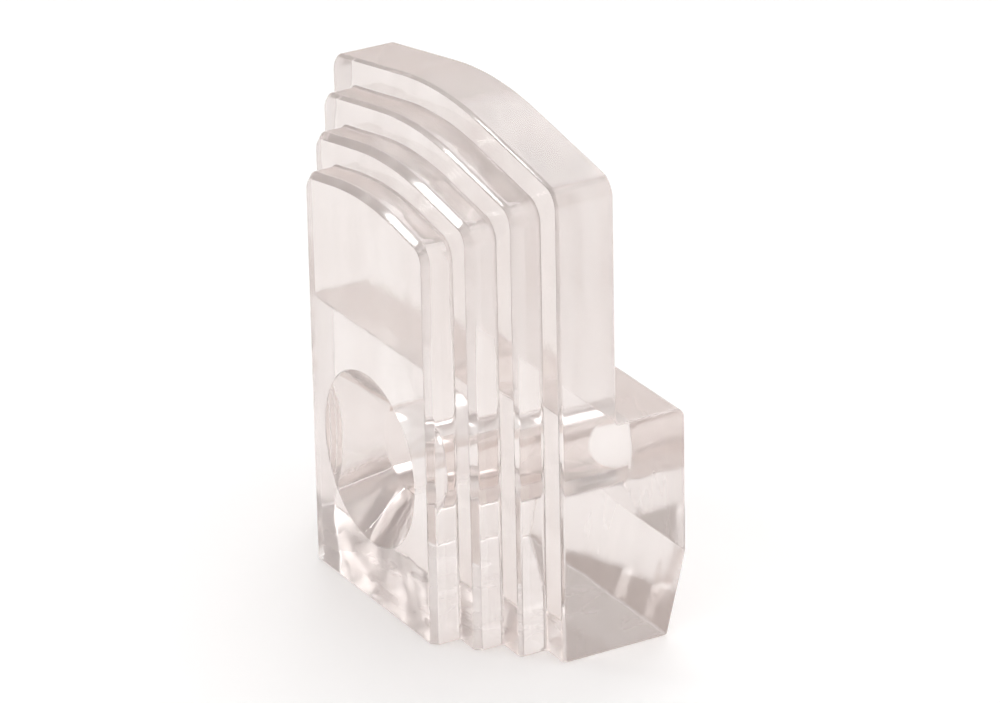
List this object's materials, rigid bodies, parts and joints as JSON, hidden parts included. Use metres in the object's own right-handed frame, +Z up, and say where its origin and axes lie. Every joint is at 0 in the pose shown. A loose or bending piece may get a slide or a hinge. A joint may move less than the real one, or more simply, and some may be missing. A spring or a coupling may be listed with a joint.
{
  "type": "mirror clip",
  "caption": "Clear moulded clip with a stepped, gabled face plate, a block behind it that forms a ledge for a mirror's edge, and a countersunk screw hole.",
  "frame": {"origin": "where the screw hole's axis meets the wall, on the block's rear face", "axes": "+X across the clip, +Y into the wall and away from the stepped front, +Z up from the foot to the gable"},
  "size_m": [0.02, 0.0104, 0.0239],
  "materials": {
    "clear_acrylic": "clear acrylic with a faint warm tint, glossy as moulded"
  },
  "bodies": {
    "root": {"clip": "clear_acrylic"}
  },
  "joints": []
}
